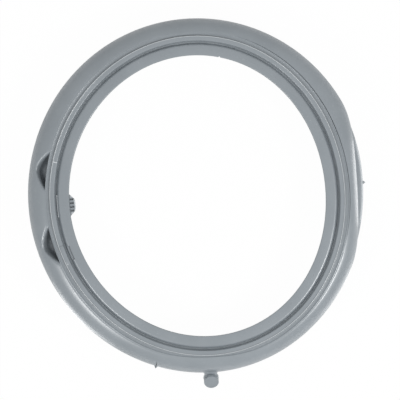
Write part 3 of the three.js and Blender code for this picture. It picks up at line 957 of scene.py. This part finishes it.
class RingBuilder:
    """Sweeps the section round the seal with a geometry tree."""

    ROUGH_RADIUS = 0.15  # keeps the carrier's points apart before they are placed
    POCKET_DIRT = 4.0  # painted shade at a pocket's full depth, before its limit
    MOST_POCKET_DIRT = 0.8

    def __init__(
        self,
        plan: OvalSizes,
        section: SealSection,
        centre: Vector,
        rubber: bpy.types.Material,
    ) -> None:
        """Takes what the ring is made from.

        Args:
            plan: Sizes of the plan.
            section: Section to sweep.
            centre: Middle of the outer oval.
            rubber: Material of the ring.
        """
        self.plan = plan
        self.section = section
        self.centre = centre
        self.rubber = rubber

    def carrier(self) -> bpy.types.Object:
        """Closed line through the section's points, each with its shares as attributes."""
        points = self.section.outline()
        count = len(points)
        mesh = bpy.data.meshes.new("section")
        reach = [self.ROUGH_RADIUS * (p.hole + p.outer + p.bulge) + p.offset for p in points]
        places = [(x, p.height, 0) for x, p in zip(reach, points)]
        mesh.from_pydata(places, [(i, (i + 1) % count) for i in range(count)], [])
        for item in fields(SectionPoint):
            attribute = mesh.attributes.new(item.name, "FLOAT", "POINT")
            attribute.data.foreach_set("value", [getattr(p, item.name) for p in points])
        return in_scene("section", mesh)

    def build(self, steps: int) -> bpy.types.Mesh:
        """Runs the sweep.

        Args:
            steps: Number of sections round the ring.

        Returns:
            Closed mesh of the ring.
        """
        tree = GeometryTree("seal_ring")
        graph = tree.graph
        sizes = {
            item.name: tree.number(label(item.name), getattr(self.plan, item.name))
            for item in fields(self.plan)
        }
        plan = SealPlan(sizes)
        carrier = self.carrier()
        count = tree.number("Steps Round", steps)
        centre_x = tree.number("Centre X", self.centre.x)
        centre_y = tree.number("Centre Y", self.centre.y)
        section = tree.add("Section", "NodeSocketObject", carrier)
        source = graph.node("GeometryNodeObjectInfo", {"Object": section})
        profile = graph.node("GeometryNodeMeshToCurve", {0: source.outputs["Geometry"]})

        circle = graph.node("GeometryNodeCurvePrimitiveCircle", {"Resolution": count})
        turn = graph.read(graph.node("GeometryNodeInputIndex")) * FULL_TURN / count
        marked = graph.store(circle.outputs["Curve"], "angle", turn)
        inputs = {"Curve": marked, "Profile Curve": profile.outputs[0]}
        swept = graph.node("GeometryNodeCurveToMesh", inputs)

        def carried(name: str) -> Socket:
            """A share that each swept point carries."""
            node = graph.node("GeometryNodeInputNamedAttribute", {"Name": name}, data_type="FLOAT")
            return graph.read(node)

        angle = carried("angle")
        names = ("hole", "outer", "bulge", "channel")
        shares = [carried(name) * getattr(plan, name)(angle) for name in names]
        radius = sum(shares[1:], start=shares[0]) + carried("offset")
        pressed = carried("pocket") * plan.pocket(angle, radius - plan.valley(angle))
        height = carried("height") - pressed - carried("crease") * plan.crease(angle)
        x = centre_x + radius * cosine(angle)
        y = centre_y + radius * sine(angle)
        inputs = {"Geometry": swept.outputs[0], "Position": graph.vector(x, y, height)}
        moved = graph.node("GeometryNodeSetPosition", inputs)
        # Pockets get painted shade that grows with their depth, on top of the section's shade mark.
        sunk = self.POCKET_DIRT * pressed / plan.sizes["pocket_depth"]
        painted_shade = carried("hollow") + smaller(sunk, self.MOST_POCKET_DIRT)
        tree.finish(graph.store(moved.outputs[0], "hollow", painted_shade), self.rubber)
        mesh = tree.mesh("ring")
        bpy.data.objects.remove(carrier)
        return mesh


class Cut(Enum):
    """How a feature is joined to the ring."""

    ADD = "UNION"
    REMOVE = "DIFFERENCE"


@dataclass(frozen=True)
class Feature:
    """A closed solid that is added to the ring or cut from it."""

    mesh: bpy.types.Mesh
    cut: Cut


@dataclass(frozen=True)
class FeatureSizes:
    """Sizes and places of the lug, the spigot and the small moulded marks."""

    lug_angle: float = 180.8
    lug_reach: float = 0.0063
    lug_half_width: float = 0.0125
    lug_shoulder_reach: float = 0.0054
    lug_shoulder_half_width: float = 0.007
    lug_tip_half_width: float = 0.0037
    lug_flank_share: float = 0.45
    lug_flank_extra: float = 0.0021
    lug_tip_share: float = 0.97
    lug_tip_extra: float = 0.0012
    lug_flat_share: float = 0.4
    lug_height: float = 0.011
    lug_overlap: float = 0.00075
    lug_rounding: float = 0.0006
    slots: int = 4
    slot_width: float = 0.0021
    slot_length: float = 0.0044
    slot_pitch: float = 0.0041
    slot_depth: float = 0.0035
    slot_margin: float = 0.0004
    slot_rise_share: float = 0.2
    spigot_angle: float = 270
    spigot_reach: float = 0.0111
    spigot_tilt: float = 37.8
    spigot_radius: float = 0.00815
    spigot_stem_radius: float = 0.0072
    spigot_head: float = 0.0044
    spigot_bevel: float = 0.0008
    spigot_bevel_share: float = 0.3
    spigot_edge: float = 0.0004
    spigot_head_edge: float = 0.0003
    spigot_face_rim: float = 0.0007
    spigot_face_step: float = 0.0003
    spigot_face_middle: float = 0.0008
    spigot_length: float = 0.0083
    collar_radius: float = 0.0085
    collar_thickness: float = 0.0014
    neck_root_width: float = 0.0185
    neck_tip_width: float = 0.0114
    neck_thickness: float = 0.009
    neck_slope: float = 0.0055
    neck_squareness: float = 0.5
    rib_angle: float = 163.3
    rib_width: float = 0.0016
    rib_rise: float = 0.0008
    pad_angle: float = 200.8
    pad_half_angle: float = 4
    pad_rise: float = 0.0007
    notch_half_angle: float = 3
    notch_width: float = 0.002
    notch_depth: float = 0.0018
    nick_angle: float = 76.8
    nick_width: float = 0.0024
    nick_depth: float = 0.0012
    nib_angle: float = -0.2
    crease_nib_angle: float = 252.2
    nib_reach: float = 0.0028
    nib_width: float = 0.0042
    nib_thickness: float = 0.0024
    tear_length: float = 0.006
    tear_width: float = 0.0011
    sink: float = 0.0018
    mark_rounding: float = 0.0003
    nib_rounding: float = 0.0004
    block_steps: int = 12


class FeatureBuilder:
    """Builds the solids that are joined to the ring, each in the frame of the part."""

    def __init__(
        self,
        sizes: FeatureSizes,
        section: SectionSizes,
        plan: SealPlan,
        centre: Vector,
    ) -> None:
        """Takes what places the features.

        Args:
            sizes: Sizes of the features.
            section: Sizes of the ring's section.
            plan: Radii of the ring.
            centre: Middle of the outer oval.
        """
        self.sizes = sizes
        self.section = section
        self.plan = plan
        self.centre = centre

    def at(self, degrees: float, radius: float) -> Matrix:
        """Turn and move that bring a shape drawn along +X to a place on the ring."""
        turn = Matrix.Rotation(math.radians(degrees), 4, "Z")
        middle = Matrix.Translation((self.centre.x, self.centre.y, 0))
        return middle @ turn @ Matrix.Translation((radius, 0, 0))

    def beside_hole(self, turn: float, out: float) -> tuple[float, float]:
        """Point in one direction, at a distance out from the hole's edge."""
        radius = self.plan.hole(turn) + out
        return radius * math.cos(turn), radius * math.sin(turn)

    def on_hole(self, degrees: float) -> Matrix:
        """Place on the hole's edge in one direction."""
        return self.at(degrees, self.plan.hole(math.radians(degrees)))

    def slab(
        self,
        corners: Sequence[tuple[float, float]],
        bottom: float,
        top: float,
        place: Matrix,
        rounding: float = 0.0,
        worn: float = 0.0,
        hollow: float = 0.0,
    ) -> bpy.types.Mesh:
        """A flat outline raised from one level to another.

        Args:
            corners: Outline, anticlockwise from above.
            bottom: Lower level.
            top: Upper level.
            place: Where the outline goes.
            rounding: Radius of its edges.
            worn: How pale its rubber is, from wear and painted highlight.
            hollow: How much painted shade darkens its rubber.

        Returns:
            Closed mesh.
        """
        shape = bmesh.new()
        low = [shape.verts.new((x, y, bottom)) for x, y in corners]
        high = [shape.verts.new((x, y, top)) for x, y in corners]
        shape.faces.new(low[::-1])
        shape.faces.new(high)
        for i in range(len(corners)):
            j = (i + 1) % len(corners)
            shape.faces.new((low[i], low[j], high[j], high[i]))
        if rounding:
            round_off = {"offset": rounding, "segments": 3, "profile": 0.5, "affect": "EDGES"}
            bmesh.ops.bevel(shape, geom=shape.edges[:], clamp_overlap=True, **round_off)
        shape.transform(place)
        return self.closed(shape, worn, hollow)

    def closed(
        self,
        shape: bmesh.types.BMesh,
        worn: float | list[float],
        hollow: float = 0.0,
    ) -> bpy.types.Mesh:
        """Turns a shape's faces outwards and makes it a mesh.

        Args:
            shape: Finished shape, which is freed.
            worn: How pale its rubber is, from wear and painted highlight, all over or at each of
                its points.
            hollow: How much painted shade darkens its rubber.

        Returns:
            Mesh that carries the marks.
        """
        bmesh.ops.recalc_face_normals(shape, faces=shape.faces[:])
        mesh = bpy.data.meshes.new("feature")
        shape.to_mesh(mesh)
        shape.free()
        for name, value in (("worn", worn), ("hollow", hollow)):
            mark = mesh.attributes.new(name, "FLOAT", "POINT")
            values = value if isinstance(value, list) else [value] * len(mesh.vertices)
            mark.data.foreach_set("value", values)
        return mesh

    def curved_block(
        self,
        degrees: float,
        half: float,
        reach: tuple[float, float],
        levels: tuple[float, float],
        worn: float = 0.0,
        hollow: float = 0.0,
    ) -> bpy.types.Mesh:
        """A block that follows the hole's edge between two distances out from it.

        Args:
            degrees: Direction of its middle.
            half: Half of the angle that it covers, in degrees.
            reach: Its inner and outer distance from the hole's edge.
            levels: Its bottom and top.
            worn: How pale its rubber is, from wear and painted highlight.
            hollow: How much painted shade darkens its rubber.

        Returns:
            Closed mesh.
        """
        steps = self.sizes.block_steps
        turns = [math.radians(degrees - half + 2 * half * i / steps) for i in range(steps + 1)]
        inner, outer = ([self.beside_hole(turn, out) for turn in turns] for out in reach)
        rounding = self.sizes.mark_rounding
        return self.slab(outer + inner[::-1], *levels, self.at(0, 0), rounding, worn, hollow)

    def lug(self) -> bpy.types.Mesh:
        """Grille lug behind the lip on the hinge side."""
        s = self.sizes
        root = self.section.lip_width + s.sink
        shoulder = s.lug_shoulder_reach
        half = [
            (root, s.lug_half_width),
            (0, s.lug_half_width),
            (-shoulder * s.lug_flank_share, s.lug_shoulder_half_width + s.lug_flank_extra),
            (-shoulder, s.lug_shoulder_half_width),
            (-s.lug_reach * s.lug_tip_share, s.lug_tip_half_width + s.lug_tip_extra),
            (-s.lug_reach, s.lug_tip_half_width * s.lug_flat_share),
        ]
        corners = half + [(x, -y) for x, y in reversed(half)]
        top = self.section.lip_back_z + s.lug_overlap
        place = self.on_hole(s.lug_angle)
        # The lug's top is painted near-white as a highlight.
        return self.slab(corners, top - s.lug_height, top, place, s.lug_rounding, worn=1.3)

    def slots(self, rubber: bpy.types.Material) -> bpy.types.Mesh:
        """The grille's blind slots, one block repeated along the lip by a geometry tree.

        Args:
            rubber: Material of the cut faces.

        Returns:
            Closed blocks, one for each slot.
        """
        s = self.sizes
        tree = GeometryTree("grille_slots")
        graph = tree.graph
        count = tree.number("Slots", s.slots)
        pitch = tree.number("Pitch", s.slot_pitch)
        names = {"Length": s.slot_length, "Width": s.slot_width, "Depth": s.slot_depth}
        size = graph.vector(*(tree.number(name, value) for name, value in names.items()))
        block = graph.node("GeometryNodeMeshCube", {"Size": size})
        start = graph.vector(y=-(count - 1.0) * pitch / 2.0)
        inputs = {"Count": count, "Start Location": start, "Offset": graph.vector(y=pitch)}
        row = graph.node("GeometryNodeMeshLine", inputs)
        inputs = {"Points": row.outputs[0], "Instance": block.outputs["Mesh"]}
        copies = graph.node("GeometryNodeInstanceOnPoints", inputs)
        tree.finish(copies.outputs[0], rubber)
        mesh = tree.mesh("slots")
        radius = self.plan.hole(math.radians(s.lug_angle)) - s.slot_margin - s.slot_length / 2
        top = self.section.lip_back_z + s.lug_overlap + s.slot_depth * s.slot_rise_share
        lift = Matrix.Translation((0, 0, top - s.slot_depth / 2))
        mesh.transform(self.at(s.lug_angle, radius) @ lift)
        return mesh

    def neck(self, steps: int = 10, sides: int = 20) -> bpy.types.Mesh:
        """Neck that carries the spigot: flared into the bulge, with a sloping top.

        Args:
            steps: Sections along it.
            sides: Points of each rounded section.

        Returns:
            Closed mesh.
        """
        s = self.sizes
        tip = s.spigot_reach - s.spigot_length * math.sin(math.radians(s.spigot_tilt))
        bottom = self.section.widest_z - s.neck_thickness
        shape = bmesh.new()
        rings = []
        for i in range(steps + 1):
            share = i / steps
            flare = (1 - share) ** 2
            half_width = (s.neck_tip_width + (s.neck_root_width - s.neck_tip_width) * flare) / 2
            top = self.section.widest_z + s.neck_slope * (1 - share)
            middle = (top + bottom) / 2
            ring = []
            for j in range(sides):
                turn = (j + 0.5) / sides * FULL_TURN
                across, rise = (
                    math.copysign(abs(value) ** s.neck_squareness, value)
                    for value in (math.cos(turn), math.sin(turn))
                )
                x = -s.sink + (tip + s.sink) * share
                z = middle + rise * (top - bottom) / 2
                ring.append(shape.verts.new((x, across * half_width, z)))
            rings.append(ring)
        self.skin(shape, rings)
        shape.transform(self.at(s.spigot_angle, self.plan.bulge(math.radians(s.spigot_angle))))
        return self.closed(shape, 0.0)

    def skin(self, shape: bmesh.types.BMesh, rings: Sequence[Sequence[bmesh.types.BMVert]]) -> None:
        """Joins rings of points into a closed skin with flat ends.

        Args:
            shape: Shape that the points are in.
            rings: Rings in order, with the same number of points.
        """
        count = len(rings[0])
        for low, high in zip(rings, rings[1:]):
            for i in range(count):
                j = (i + 1) % count
                shape.faces.new((low[i], low[j], high[j], high[i]))
        shape.faces.new(rings[0][::-1])
        shape.faces.new(rings[-1])

    def spigot(self, sides: int = 72) -> bpy.types.Mesh:
        """Closed round end of the spigot: a collar, a stem and a rounded head, tilted outwards.

        Args:
            sides: Steps round it.

        Returns:
            Closed mesh.
        """
        s = self.sizes
        end = s.spigot_length
        head = end - s.spigot_head
        bevel = s.spigot_bevel
        soft = bevel * s.spigot_bevel_share
        collar = [
            (s.collar_radius - s.spigot_edge, -s.collar_thickness),
            (s.collar_radius, -s.collar_thickness + s.spigot_edge),
            (s.collar_radius, -s.spigot_edge),
            (s.collar_radius - s.spigot_edge, 0.0),
        ]
        face = s.spigot_radius - bevel - s.spigot_face_rim
        body = [
            (s.spigot_stem_radius + s.spigot_edge, 0.0),
            (s.spigot_stem_radius, s.spigot_edge),
            (s.spigot_stem_radius, head),
            (s.spigot_radius - s.spigot_head_edge, head),
            (s.spigot_radius, head + s.spigot_head_edge),
            (s.spigot_radius, end - bevel),
            (s.spigot_radius - soft, end - soft),
            (s.spigot_radius - bevel, end),
            (face, end),
            (face - s.spigot_face_step, end - s.spigot_face_step),
            (s.spigot_face_middle, end - s.spigot_face_step),
        ]
        shape = bmesh.new()
        turns = [i / sides * FULL_TURN for i in range(sides)]
        rings = [
            [shape.verts.new((radius * math.cos(t), radius * math.sin(t), height)) for t in turns]
            for radius, height in collar + body
        ]
        self.skin(shape, rings)
        tilt = math.radians(s.spigot_tilt)
        out = s.spigot_reach - s.spigot_length * math.sin(tilt)
        radius = self.plan.bulge(math.radians(s.spigot_angle)) + out
        lift = Matrix.Translation((0, 0, self.section.widest_z - s.neck_thickness / 2))
        shape.transform(self.at(s.spigot_angle, radius) @ lift @ Matrix.Rotation(tilt, 4, "Y"))
        # The collar is painted near-white as a highlight; the body gets a slight pale mark.
        worn = [1.2] * (len(collar) * sides) + [0.25] * (len(body) * sides)
        return self.closed(shape, worn)

    def nib(self, degrees: float, radius: float, height: float, worn: float) -> bpy.types.Mesh:
        """Pointed nib left by the mould on an outer edge.

        Args:
            degrees: Direction of the nib.
            radius: Distance of its root from the middle.
            height: Level of its middle.
            worn: How pale its rubber is, from wear and painted highlight.

        Returns:
            Closed mesh.
        """
        s = self.sizes
        corners = [
            (-s.sink, -s.nib_width / 2),
            (0, -s.nib_width / 2),
            (s.nib_reach, 0),
            (0, s.nib_width / 2),
            (-s.sink, s.nib_width / 2),
        ]
        half = s.nib_thickness / 2
        place = self.at(degrees, radius)
        return self.slab(corners, height - half, height + half, place, s.nib_rounding, worn)

    def tear(self) -> bpy.types.Mesh:
        """Short tear that runs in from the lower nib."""
        s = self.sizes
        half = s.tear_width / 2
        end = s.nib_reach
        corners = [(-s.tear_length, 0), (0, -half), (end, -half), (end, half), (0, half)]
        place = self.at(s.crease_nib_angle, self.plan.bulge(math.radians(s.crease_nib_angle)))
        # The tear's cut faces carry painted shade.
        return self.slab(corners, self.section.widest_z, self.section.crown_z, place, hollow=0.3)

    def rib(self) -> bpy.types.Mesh:
        """Rib across the bead."""
        s = self.sizes
        ring = self.section
        start = ring.bead_start
        end = ring.rim_start + ring.rim_width / 2
        half = s.rib_width / 2
        corners = [(start, -half), (end, -half), (end, half), (start, half)]
        levels = (ring.bead_z - s.sink, ring.bead_z + s.rib_rise)
        return self.slab(corners, *levels, self.on_hole(s.rib_angle), s.mark_rounding, worn=1.0)

    def nick(self) -> bpy.types.Mesh:
        """Shallow nick in the edge of the lip."""
        s = self.sizes
        depth = s.nick_depth
        width = s.nick_width
        corners = [
            (-depth, -width / 2),
            (depth, -width / 4),
            (depth, width / 4),
            (-depth, width / 2),
        ]
        levels = (self.section.lip_back_z - s.sink, self.section.lip_z + s.sink)
        return self.slab(corners, *levels, self.on_hole(s.nick_angle))

    def build(self, rubber: bpy.types.Material) -> list[Feature]:
        """Builds every feature in the order that it is joined.

        Args:
            rubber: Material of the features.

        Returns:
            Solids to add, then solids to cut.
        """
        s = self.sizes
        ring = self.section
        flat = math.radians(s.nib_angle)
        lower = math.radians(s.crease_nib_angle)
        pad_reach = (ring.bead_start, ring.rim_start)
        pad_levels = (ring.bead_z - s.sink, ring.bead_z + s.pad_rise)
        notch_reach = (ring.lip_width - s.notch_width, ring.bead_start - s.sink)
        notch_levels = (ring.lip_z - s.notch_depth, ring.lip_z + s.sink)
        added = [
            self.lug(),
            self.neck(),
            self.spigot(),
            self.nib(s.nib_angle, self.plan.outer(flat) - ring.fold_inset, ring.fold_z, worn=0.2),
            # The lower nib is painted pale as a highlight.
            self.nib(s.crease_nib_angle, self.plan.bulge(lower), ring.widest_z, worn=1.2),
            self.rib(),
            self.curved_block(s.pad_angle, s.pad_half_angle, pad_reach, pad_levels, worn=0.35),
        ]
        removed = [
            # The notch's cut faces carry painted shade.
            self.curved_block(
                s.pad_angle, s.notch_half_angle, notch_reach, notch_levels, hollow=0.8
            ),
            self.nick(),
            self.tear(),
            self.slots(rubber),
        ]
        return [Feature(mesh, Cut.ADD) for mesh in added] + [
            Feature(mesh, Cut.REMOVE) for mesh in removed
        ]


@dataclass(frozen=True)
class DoorSeal:
    """The finished seal."""

    shown: bpy.types.Object

    @property
    def triangles(self) -> int:
        """Number of triangles in its mesh."""
        return sum(len(face.vertices) - 2 for face in self.shown.data.polygons)

    def register(self) -> None:
        """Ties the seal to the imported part."""
        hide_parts(NODE)
        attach(self.shown, "root")


class DoorSealBuilder:
    """Builds the seal as one piece: the swept ring with its features joined."""

    def __init__(self, plan: OvalSizes, section: SectionSizes, features: FeatureSizes) -> None:
        """Takes the sizes of the seal.

        Args:
            plan: Sizes of the plan.
            section: Sizes of the section.
            features: Sizes of the features.
        """
        self.plan = plan
        self.section = section
        self.features = features

    def centre(self) -> Vector:
        """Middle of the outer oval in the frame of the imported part."""
        low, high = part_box(NODE)
        plan = plain_plan(self.plan)
        turns = [math.radians(degrees) for degrees in range(360)]
        left = min(plan.bulge(turn) * math.cos(turn) for turn in turns)
        top = max(plan.bulge(turn) * math.sin(turn) for turn in turns)
        return Vector((low.x - left, high.y - top, 0))

    def build(self, rubber: bpy.types.Material, steps: int = 520) -> DoorSeal:
        """Sweeps the ring, joins the features and sets the shading.

        Args:
            rubber: Material of the seal.
            steps: Sections round the ring.

        Returns:
            The finished seal.
        """
        centre = self.centre()
        section = SealSection(self.section, self.plan)
        ring = RingBuilder(self.plan, section, centre, rubber).build(steps)
        shape = bmesh.new()
        shape.from_mesh(ring)
        bmesh.ops.recalc_face_normals(shape, faces=shape.faces[:])
        shape.to_mesh(ring)
        shape.free()
        seal = in_scene("door_seal_rubber", ring)
        maker = FeatureBuilder(self.features, self.section, plain_plan(self.plan), centre)
        tools = []
        for feature in maker.build(rubber):
            tool = in_scene("tool", feature.mesh)
            modifier = seal.modifiers.new("Join", "BOOLEAN")
            modifier.object = tool
            modifier.operation = feature.cut.value
            modifier.solver = "MANIFOLD"
            tools.append(tool)
        whole = evaluated_mesh(seal)
        seal.modifiers.clear()
        seal.data = whole
        for tool in tools:
            bpy.data.objects.remove(tool)
        self.shade(whole, rubber)
        return DoorSeal(seal)

    def shade(self, mesh: bpy.types.Mesh, rubber: bpy.types.Material) -> None:
        """Shades a mesh smooth, with creases at its sharp corners."""
        mesh.materials.clear()
        mesh.materials.append(rubber)
        mesh.polygons.foreach_set("material_index", [0] * len(mesh.polygons))
        mesh.polygons.foreach_set("use_smooth", [True] * len(mesh.polygons))
        mesh.set_sharp_from_angle(angle=SHARP_ANGLE)
        mesh.update()


@dataclass(frozen=True)
class LightSizes:
    """Place and strength of one soft light."""

    azimuth: float
    elevation: float
    power: float
    size: float
    distance: float = 2.2


@dataclass(frozen=True)
class CardSizes:
    """Place and strength of one bright card that lies on the floor beside the seal."""

    azimuth: float
    distance: float
    power: float
    size: float
    height: float = 0.002


@dataclass(frozen=True)
class Studio:
    """Camera, lights, world and floor of the picture."""

    roll: float = 4.2
    height: float = 12.0
    picture_width: float = 0.44
    subject_height: float = 0.062
    right_of_centre: float = 0.00264
    below_centre: float = 0.00671
    sensor_width: float = 36
    furthest: float = 40
    fill: float = 0.56
    floor_half: float = 3.0
    floor_tone: float = 0.9
    floor_plain_share: float = 0.98
    lights: tuple[LightSizes, ...] = (
        LightSizes(223, 53, 12.0, 0.5),
        LightSizes(333, 53, 19.0, 0.5),
    )
    cards: tuple[CardSizes, ...] = (
        CardSizes(225, 0.265, 0.07, 0.11),
        CardSizes(328, 0.265, 0.035, 0.11),
        CardSizes(4, 0.245, 0.05, 0.1),
    )

    def camera(self, centre: Vector) -> None:
        """Sets the camera straight above the seal.

        Args:
            centre: Middle of the outer oval.
        """
        roll = math.radians(self.roll)
        right = Vector((math.cos(roll), -math.sin(roll), 0))
        up = Vector((math.sin(roll), math.cos(roll), 0))
        data = bpy.data.cameras.new("camera")
        data.sensor_width = self.sensor_width
        data.lens = data.sensor_width * (self.height - self.subject_height) / self.picture_width
        data.clip_end = self.furthest
        camera = in_scene("camera", data)
        camera.location = centre + right * self.right_of_centre - up * self.below_centre
        camera.location.z = self.height
        camera.rotation_euler = (0, 0, -roll)
        bpy.context.scene.camera = camera
        bpy.context.scene.view_settings.view_transform = "Standard"

    def square(self, place: Vector, facing: Vector, power: float, size: float) -> None:
        """Adds one square area light that the camera doesn't see.

        Args:
            place: Its middle.
            facing: Direction that it shines in.
            power: Its power in watts.
            size: Its side.
        """
        data = bpy.data.lights.new("soft_light", "AREA")
        data.energy = power
        data.size = size
        light = in_scene("soft_light", data)
        light.location = place
        light.rotation_euler = facing.to_track_quat("-Z", "Y").to_euler()
        light.visible_camera = False

    def light(self, sizes: LightSizes) -> None:
        """Adds one soft light that faces the seal.

        Args:
            sizes: Place and strength of the light.
        """
        azimuth = math.radians(sizes.azimuth - self.roll)
        elevation = math.radians(sizes.elevation)
        flat = math.cos(elevation)
        out = Vector((flat * math.cos(azimuth), flat * math.sin(azimuth), math.sin(elevation)))
        place = out * sizes.distance
        self.square(place, -place, sizes.power, sizes.size)

    def card(self, sizes: CardSizes, centre: Vector) -> None:
        """Adds one card that faces up, so that the seal's outer edge shines.

        Args:
            sizes: Place and strength of the card.
            centre: Middle of the outer oval.
        """
        azimuth = math.radians(sizes.azimuth - self.roll)
        place = centre + Vector((math.cos(azimuth), math.sin(azimuth), 0)) * sizes.distance
        place.z += sizes.height
        self.square(place, Vector((0, 0, 1)), sizes.power, sizes.size)

    def world(self) -> None:
        """White surroundings: plain white to the camera and an even fill for the seal."""
        world = bpy.data.worlds.new("world")
        graph = empty_graph(world)
        path = graph.node("ShaderNodeLightPath")
        fill, seen = (
            graph.node("ShaderNodeBackground", {"Color": WHITE, "Strength": strength}).outputs[0]
            for strength in (self.fill, 1.0)
        )
        inputs = {0: path.outputs["Is Camera Ray"], 1: fill, 2: seen}
        mix = graph.node("ShaderNodeMixShader", inputs)
        graph.node("ShaderNodeOutputWorld", {"Surface": mix.outputs[0]})
        bpy.context.scene.world = world

    def floor(self) -> None:
        """Adds a white floor that keeps a faint shadow of the seal."""
        material = bpy.data.materials.new("white_floor")
        graph = empty_graph(material)
        path = graph.node("ShaderNodeLightPath")
        grey = (self.floor_tone, self.floor_tone, self.floor_tone, 1)
        paper = graph.node("ShaderNodeBsdfDiffuse", {"Color": grey})
        glow = graph.node("ShaderNodeEmission", {"Color": WHITE, "Strength": 1.0})
        share = graph.read(path, "Is Camera Ray") * self.floor_plain_share
        mix = graph.node("ShaderNodeMixShader", {0: share, 1: paper.outputs[0], 2: glow.outputs[0]})
        graph.node("ShaderNodeOutputMaterial", {"Surface": mix.outputs[0]})
        half = self.floor_half
        corners = [(-half, -half, 0), (half, -half, 0), (half, half, 0), (-half, half, 0)]
        mesh = bpy.data.meshes.new("floor")
        mesh.from_pydata(corners, [], [(0, 1, 2, 3)])
        mesh.materials.append(material)
        floor = in_scene("floor", mesh)

    def build(self, centre: Vector) -> None:
        """Sets up the whole picture.

        Args:
            centre: Middle of the outer oval.
        """
        self.camera(centre)
        for sizes in self.lights:
            self.light(sizes)
        for sizes in self.cards:
            self.card(sizes, centre)
        self.world()
        self.floor()


def main() -> None:
    """Builds the seal and its picture, and reports what was built."""
    logging.basicConfig(level=logging.INFO, format="%(name)s: %(message)s")
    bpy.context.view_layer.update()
    rubber = RubberLook().build()
    builder = DoorSealBuilder(OvalSizes(), SectionSizes(), FeatureSizes())
    seal = builder.build(rubber)
    seal.register()
    LOG.info("%s: %d triangles", seal.shown.name, seal.triangles)
    studio = Studio()
    studio.build(builder.centre())
    LOG.info("studio: %d lights and %d cards", len(studio.lights), len(studio.cards))


if __name__ == "__main__":
    main()
